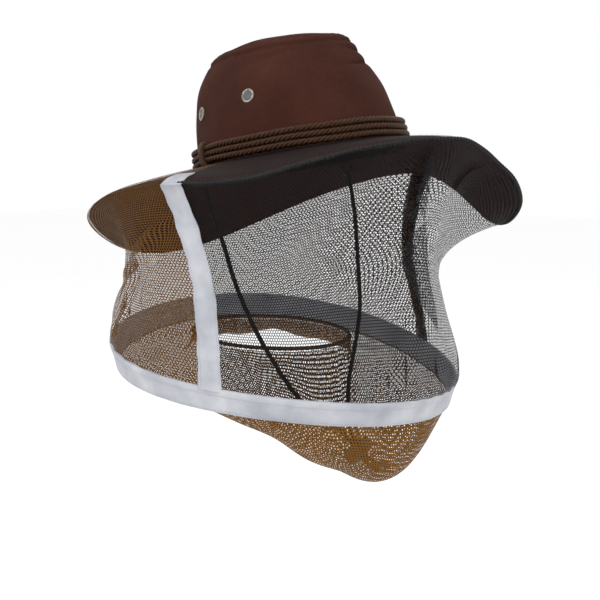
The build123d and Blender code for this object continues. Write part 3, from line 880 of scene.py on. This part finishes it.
def hat_cord_line(height):
    """Where a strand's middle runs, with a slight sag and unevenness."""
    scale = crown_scale(height)
    off = HAT_CORD_RADIUS + HAT_CORD_GAP - 0.9

    def place(angle):
        x, y = on_oval(angle, OPENING_LENGTH * scale + off, OPENING_WIDTH * scale + off)
        uneven = 0.35 * waves(angle, 3, height) + 0.25 * waves(angle, 8)
        squeeze = (HAT_CORD_HEIGHT - height) * 0.12 * swell(angle, WRAP_ANGLE, 9)
        return Vector((x, y + crown_lean(height), height + uneven + squeeze))

    return place


def twisted(place, start, stop, turns, steps, spread):
    """Three plies wound around a line, as lists of points."""
    paths = []
    for ply in range(3):
        path = []
        for step in range(steps):
            angle = start + (stop - start) * step / steps
            along = (place(angle + 0.5) - place(angle - 0.5)).normalized()
            out = along.cross(UP).normalized()
            up = out.cross(along)
            turn = 2 * math.pi * (turns * step / steps + ply / 3)
            around = (out * math.cos(turn) + up * math.sin(turn)) * spread
            path.append(HAT_TURN @ (place(angle) + around))
        paths.append(path)
    return paths


for index, name in enumerate(("lower", "middle", "upper")):
    line = hat_cord_line(HAT_CORD_HEIGHT + (index - 1) * HAT_CORD_PITCH)
    plies = twisted(line, 0, 360, ROPE_TURNS, ROPE_TURNS * STEPS_A_TURN, ROPE_SPREAD)
    mesh = tube_mesh(f"hat_rope_{name}", plies, ROPE_PLY, 8, closed=True)
    finish_mesh(f"hat_rope_{name}", mesh, cord_yarn, "twisted_cord", f"hat_cord_{name}")


def tie_line(shift):
    """One turn of the tie around the three strands."""
    centre = crown_place(WRAP_ANGLE, HAT_CORD_HEIGHT, HAT_CORD_RADIUS + 1.4)
    out = outward(WRAP_ANGLE).normalized()
    along = out.cross(UP)
    tall = 1.5 * HAT_CORD_PITCH + 1.1

    def place(angle):
        turn = math.radians(angle)
        side = shift + angle / 360 * TIE_CLIMB
        return centre + out * math.cos(turn) * TIE_REACH + UP * math.sin(turn) * tall + along * side

    return place


tie_plies = []
for shift in TIE_SHIFTS:
    tie_plies += twisted(tie_line(shift), -176, 176, 6, 110, TIE_SPREAD)
mesh = tube_mesh("hat_rope_tie", tie_plies, TIE_PLY, 8)
finish_mesh("hat_rope_tie", mesh, cord_yarn, "twisted_cord", "hat_cord_wrap")

# --- Brim ---------------------------------------------------------------------------------------

BRIM_HALF = 1.9
EDGE_FROM = 0.46  # the share of the cut's outline on each face; the rest goes round the edge
EDGE_OUT = 0.985
EDGE_BULGE = 1.15


def brim_section(u, v):
    """Around the brim's cut: out along the top, round the edge and back underneath."""
    angle = 360 * u
    ripple = 0.5 * waves(angle, 5, 1) * math.sin(math.pi * min(1, 2 * abs(v - 0.5)))
    if v < EDGE_FROM:
        return brim_place(angle, v / EDGE_FROM * EDGE_OUT, BRIM_HALF + ripple)
    if v > 1 - EDGE_FROM:
        return brim_place(angle, (1 - v) / EDGE_FROM * EDGE_OUT, -BRIM_HALF + ripple)
    turn = math.pi * (v - EDGE_FROM) / (1 - 2 * EDGE_FROM)
    middle = brim_place(angle, EDGE_OUT)
    end = brim_place(angle, 1.0)
    return middle.lerp(end, EDGE_BULGE * math.sin(turn)) + hat_point(0, 0, BRIM_HALF * math.cos(turn))


mesh = grid_mesh("brim_cloth", 300, 76, brim_section, plain_uv(1.1, 0.19), closed=True)
finish_mesh("brim_cloth", mesh, brim_canvas, "canvas", "brim_upper", "brim_lower", "brim_binding")


def brim_row(out):
    """A path along the brim's underside, for stitches."""
    return lambda angle: (brim_place(angle, out, -BRIM_HALF), hat_point(0, 0, -1))


for ring in range(7):
    row = brim_row(0.12 + 0.135 * ring)
    count = 150 + 26 * ring
    stitches(f"brim_stitches_{ring}", row, seam_thread, "canvas", count, length=2.2, lift=0.15, thick=0.4)
for ring, share in enumerate((0.955, 0.985)):
    name = f"brim_edge_stitches_{ring}"
    stitches(name, brim_row(share), seam_thread, "canvas", 330, length=2.2, lift=0.2, thick=0.5)


def sweatband_point(u, v):
    angle = 360 * u
    inward = 8.8 + 0.5 * waves(angle, 9) * v
    x, y = on_oval(angle, OPENING_LENGTH - inward, OPENING_WIDTH - inward)
    return hat_point(x, y + 1, -1 + 30 * v)


mesh = grid_mesh("sweatband_cloth", 160, 10, sweatband_point, plain_uv(0.56, 0.03), closed=True)
band = finish_mesh("sweatband_cloth", mesh, band_cloth, "sweatband", "sweatband")
thicken(band, 0.001)

# --- Nets ---------------------------------------------------------------------------------------


def fold_shift(angle, drop, fold):
    """How far one Z-shaped pleat shifts the cloth sideways, in degrees, and outwards, in mm."""
    (top, middle, foot), (thin, wide, at), depth, (first, last) = fold
    centre = (1 - drop) ** 2 * top + 2 * drop * (1 - drop) * middle + drop**2 * foot
    width = thin + (wide - thin) * bell(drop, at, 0.22)
    away = turned(angle, centre)
    strength = ease(first, first + 0.12, drop) * (1 - ease(last - 0.12, last, drop))
    pull = math.sin(math.pi * away / width) * math.exp(-((away / width) ** 2)) * strength
    return 0.68 * width * pull, -depth * pull


def folded(angle, drop, folds):
    """A point of the hanging net with overlapping pleats, which stay clear of the side tapes."""
    shift, out = 0.0, 0.0
    free = 1 - swell(angle, SEAM_RIGHT, 8) - swell(angle, SEAM_LEFT, 8)
    body = free * math.sin(math.pi * min(1, max(0, drop))) ** 0.6
    for fold in folds:
        sideways, outwards = fold_shift(angle, drop, fold)
        shift -= sideways * free
        out += outwards * free
    ripple = 1.3 * waves(angle, 7.3, 3 * drop) + 0.8 * waves(angle, 13.1, -5 * drop)
    gather = 0.9 * waves(angle, 41) * ease(0.7, 1.0, drop) * (1 - ease(0.96, 1, drop))
    return veil_point(angle + shift, drop, out + ripple * body + gather * free)


# Pleats: the angle at the brim, half way and at the hoop; the width there and at its widest, and
# where that is; the depth; and the drops where it starts and ends.
FRONT_FOLDS = (
    ((16, 10, -34), (9, 30, 0.5), 5.0, (0.02, 0.99)),
    ((-18, 6, -14), (9, 15, 0.42), 3.5, (0.02, 0.98)),
    ((6, 6, 8), (4, 5, 0.9), 1.2, (0.74, 1.0)),
    ((18, 18, 15), (3.4, 4, 0.9), 1.0, (0.8, 1.0)),
)
REAR_FOLDS = (
    ((66, 132, 152), (7, 9, 0.5), 2.5, (0.2, 0.99)),
    ((120, 112, 134), (5, 6, 0.5), 1.8, (0.3, 0.99)),
    ((170, 150, 160), (6, 7, 0.5), 1.8, (0.3, 0.99)),
)
COVER = 0.24  # the share of a net's rows that lies on the brim
COVER_LENGTH = 0.085  # metres of cloth on the brim
NET_ARM = 0.176  # metres from the middle, for the cloth's width


def net_piece(name, first, last, folds, material, drop_length, slot, *nodes):
    """A net from the crown over the brim to the hoop, between two angles."""
    span = math.radians(abs(last - first)) * NET_ARM

    def point(u, v):
        angle = first + (last - first) * u
        if v < COVER:
            return veil_cover(angle, v / COVER - 1)
        return folded(angle, (v - COVER) / (1 - COVER), folds)

    def uv(u, v):
        if v < COVER:
            return u * span, v / COVER * COVER_LENGTH
        return u * span, COVER_LENGTH + (v - COVER) / (1 - COVER) * drop_length

    mesh = grid_mesh(name, 300, 120, point, uv)
    piece = finish_mesh(name, mesh, material, slot, *nodes)


# --- Tapes --------------------------------------------------------------------------------------

TAPE_COVER = 0.2  # the share of a tape's rows, and of the brim's reach, where it lies on the brim
TAPE_LIFT = 0.9
TAPE_OFF = 2.3
TAPE_FLAT = 0.021
TAPE_THICKNESS = 0.0007
HOOP_GIRTH = 1.03


def tape_point(seam):
    """A side tape: over the brim's edge and down the net to the hoop."""

    def point(u, v):
        across = (u - 0.5) * TAPE_WIDTH
        angle = seam + math.degrees(across / (185 - 24 * math.sin(math.pi * min(1, v * 1.3) / 2)))
        crease = 1.1 * math.sin(v * 34 + 2 * u) * math.sin(v * 11) + 0.5 * math.sin(v * 71 - 3 * u)
        curl = -0.6 * (2 * u - 1) ** 2
        if v < TAPE_COVER:
            return veil_cover(angle, v - TAPE_COVER) + hat_point(0, 0, TAPE_LIFT)
        drop = (v - TAPE_COVER) / (1 - TAPE_COVER)
        return veil_point(angle, drop * 0.985, TAPE_OFF + crease + curl)

    return point


def tape_row(point_of, share):
    """A path down a tape, for stitches."""

    def path(value):
        here = point_of(share, value)
        out = Vector((here.x - HOOP_CENTRE.x, here.y - HOOP_CENTRE.y, 0)).normalized()
        return here, out

    return path


for side, seam in (("right", SEAM_RIGHT), ("left", SEAM_LEFT)):
    name = f"veil_tape_{side}"
    point_of = tape_point(seam)
    mesh = grid_mesh(name, 14, 130, point_of, plain_uv(TAPE_FLAT, 0.22))
    tape = finish_mesh(name, mesh, white_tape, "white_tape", f"side_tape_{side}")
    thicken(tape, TAPE_THICKNESS)
    for index, share in enumerate((0.1, 0.9)):
        stitches(f"{name}_stitches_{index}", tape_row(point_of, share), white_thread, "white_tape", 62,
                 length=1.9, lift=0.22, thick=0.4, start=0.22, stop=0.99)


def casing_ring(angle, v, out=0.0):
    """The hoop casing's outside: v runs over the top edge and down to the lower edge."""
    wobble = 0.5 * waves(angle, 17) + 0.4 * waves(angle, 29, 1)
    radius = HOOP_RADIUS - HOOP_TAPER * v + 2.3 * (1 - 0.55 * ease(0.1, 0.4, v)) + out
    up = HOOP_TAPE / 2 - v * HOOP_TAPE + 0.3 * wobble
    return hoop_point(angle, radius + wobble * bell(v, 0.6, 0.35), up)


CASING_FACE = 0.42  # the share of the casing's outline on each face; the rest goes over the wire


def casing_point(u, v):
    """Up the inside, over the wire and down the outside."""
    angle = 360 * u
    if v < CASING_FACE:
        share = 1 - v / CASING_FACE
        return casing_ring(angle, share, -4.4 + 1.6 * ease(0.1, 0.5, share))
    if v > 1 - CASING_FACE:
        return casing_ring(angle, (v + CASING_FACE - 1) / CASING_FACE)
    turn = math.pi * (v - CASING_FACE) / (1 - 2 * CASING_FACE)
    centre = hoop_point(angle, HOOP_RADIUS + 0.1, HOOP_TAPE / 2)
    return centre - outward(angle) * math.cos(turn) * 2.25 + UP * (0.5 + 1.1 * math.sin(turn))


mesh = grid_mesh("hoop_band", 260, 34, casing_point, plain_uv(HOOP_GIRTH, 0.048), closed=True)
casing = finish_mesh("hoop_band", mesh, white_tape, "white_tape", "hoop_casing_front", "hoop_casing_rear")
thicken(casing, 0.0005)


def casing_row(v):
    """A path around the hoop casing, for stitches."""
    return lambda angle: (casing_ring(angle, v), outward(angle))


for index, v in enumerate((0.24, 0.9)):
    name = f"hoop_band_stitches_{index}"
    stitches(name, casing_row(v), white_thread, "white_tape", 300, length=2.1, lift=0.2, thick=0.4)

net_piece("front_mesh", SEAM_LEFT - 2, SEAM_RIGHT + 2, FRONT_FOLDS, black_net, 0.24, "black_net",
          "front_net", "front_net_over_brim")
net_piece("rear_mesh", SEAM_RIGHT - 2, 360 + SEAM_LEFT + 2, REAR_FOLDS, brown_net, 0.23, "brown_net",
          "rear_net", "rear_net_over_brim")

# --- Neck net -----------------------------------------------------------------------------------

NECK_SLOPE = 0.06
NECK_FALL = 24.0  # how far below the neck ring its curve's last handle is, where the pouch is flat


def neck_place(angle, up=0.0):
    """A point of the ring around the neck."""
    x, y = on_oval(angle, NECK_RADIUS, NECK_RADIUS)
    return Vector((NECK_CENTRE.x + x, NECK_CENTRE.y + y, NECK_CENTRE.z + up + NECK_SLOPE * y))


def neck_sheet_point(u, v):
    """From the hoop down into the pouch in front, and up to the ring around the neck."""
    angle = 360 * u
    rim = hoop_point(angle, HOOP_RADIUS - HOOP_TAPER + 0.4, -HOOP_TAPE / 2 + 2.5)
    neck = neck_place(angle)
    depth = POUCH_DEPTH + raised(angle, POUCH_SWELLS)
    outer = rim + (neck - rim) * (0.12 + 0.16 * swell(angle, -40, 36)) - UP * (depth * 0.8)
    under = rim + (neck - rim) * 0.5 - UP * (depth * 1.35)
    inner = Vector((neck.x, neck.y, neck.z - NECK_FALL - 0.6 * depth))
    gather = ease(0.35, 1.0, v) * 1.3 * waves(angle, 34, 2 * waves(angle, 3))
    billow = 2.6 * waves(angle, 6, 4 * v) * math.sin(math.pi * v)
    billow += 1.8 * waves(angle, 11, -6 * v) * math.sin(math.pi * v)
    return bezier((rim, outer, under, inner, neck), v) + UP * billow + outward(angle) * gather


mesh = grid_mesh("neck_cloth", 320, 70, neck_sheet_point, plain_uv(0.86, 0.16), closed=True)
neck_cloth = finish_mesh("neck_cloth", mesh, neck_mesh, "brown_net", "neck_net_front", "neck_net_rear")

# --- Gathered edges -----------------------------------------------------------------------------


def ring_path(count, place):
    return [place(360 * index / count) for index in range(count)]


def gathered(part, count):
    """A sine with a number of waves along a tube."""
    return math.sin(part * 2 * math.pi * count)


def neck_radius(part):
    return NECK_RING * (0.86 + 0.12 * gathered(part, 90))


neck_line = ring_path(720, lambda angle: neck_place(angle, 2.8))
mesh = tube_mesh("neck_ruche", [neck_line], neck_radius, 10, closed=True)
finish_mesh("neck_ruche", mesh, elastic_cloth, "elastic", "neck_elastic")

HEM_START = 5.6
HEM_LIFT = 3.6


def hem_place(angle):
    """The elastic hem on the brim, close to the crown."""
    out = HEM_START / (brim_reach(angle) - crown_reach(angle))
    return brim_place(angle, out, HEM_LIFT + 0.4 * waves(angle, 60))


def hem_radius(part):
    return 1.15 + 0.16 * gathered(part, 120)


mesh = tube_mesh("veil_hem_ruche", [ring_path(960, hem_place)], hem_radius, 8, closed=True)
finish_mesh("veil_hem_ruche", mesh, band_cloth, "elastic", "veil_hem")

EDGE_STEPS = 1200


def edge_place(part):
    """Along the front net's bunched edge, from the left seam to the right one."""
    angle = SEAM_LEFT + (SEAM_RIGHT - SEAM_LEFT) * part
    wander = 0.5 * waves(angle, 9) + 0.3 * waves(angle, 23)
    return brim_edge(angle, 1.7 + 0.4 * wander, -0.3 + wander)


def edge_radius(part):
    taper = ease(0, 0.02, part) * (1 - ease(0.98, 1, part))
    return (1.75 + 0.4 * gathered(part, 150)) * (0.3 + 0.7 * taper)


edge_line = [edge_place(step / EDGE_STEPS) for step in range(EDGE_STEPS + 1)]
mesh = tube_mesh("front_edge_ruche", [edge_line], edge_radius, 8)
finish_mesh("front_edge_ruche", mesh, net_edge, "black_net")

# --- Camera, floor and light --------------------------------------------------------------------

CAMERA_AZIMUTH = -48.0
CAMERA_HEIGHT = 2.5
CAMERA_DISTANCE = 1.3
LENS = 82.7
LOOK_DOWN = 8.26
SHIFT_ASIDE = -0.0033
FLOOR_HALF = 6.0
FLOOR_LEVEL = -0.62


def direction(azimuth, height):
    turn, rise = math.radians(azimuth), math.radians(height)
    return Vector((math.sin(turn) * math.cos(rise), -math.cos(turn) * math.cos(rise), math.sin(rise)))


def add_camera():
    camera = bpy.data.objects.new("camera", bpy.data.cameras.new("camera"))
    camera.location = CAMERA_DISTANCE * direction(CAMERA_AZIMUTH, CAMERA_HEIGHT)
    camera.rotation_euler = (math.radians(90 - LOOK_DOWN), 0, math.radians(CAMERA_AZIMUTH))
    camera.data.lens = LENS
    camera.data.sensor_width = 36
    camera.data.shift_x = SHIFT_ASIDE
    camera.data.clip_start = 0.05
    bpy.context.scene.collection.objects.link(camera)
    bpy.context.scene.camera = camera


def add_floor():
    nodes = Nodes("floor")
    nodes.paint(nodes.noise(3, 2), (0.96, 0.96, 0.96, 1), (0.98, 0.98, 0.98, 1))
    nodes.set(Roughness=0.9)
    signs = ((-1, -1), (1, -1), (1, 1), (-1, 1))
    corners = [(x * FLOOR_HALF, y * FLOOR_HALF, FLOOR_LEVEL) for x, y in signs]
    mesh = bpy.data.meshes.new("floor")
    mesh.from_pydata(corners, [], [(0, 1, 2, 3)])
    mesh.materials.append(nodes.material)
    floor = bpy.data.objects.new("floor", mesh)
    bpy.context.scene.collection.objects.link(floor)


def add_light(name, azimuth, height, distance, size, power):
    data = bpy.data.lights.new(name, "AREA")
    data.size = size
    data.energy = power
    light = bpy.data.objects.new(name, data)
    light.location = distance * direction(azimuth, height)
    light.rotation_euler = (-light.location).to_track_quat("-Z", "Y").to_euler()
    bpy.context.scene.collection.objects.link(light)


add_camera()
add_floor()
add_light("key", azimuth=-75, height=42, distance=2.2, size=1.2, power=20)
add_light("fill", azimuth=-5, height=25, distance=2.4, size=2.0, power=7)
add_light("back", azimuth=140, height=45, distance=2.4, size=1.6, power=9)

world = bpy.data.worlds.new("world")
world.use_nodes = True
world.node_tree.nodes["Background"].inputs["Color"].default_value = (1, 1, 1, 1)
world.node_tree.nodes["Background"].inputs["Strength"].default_value = 1.0
bpy.context.scene.world = world
bpy.context.scene.view_settings.view_transform = "Standard"
bpy.context.scene.cycles.transparent_max_bounces = 48
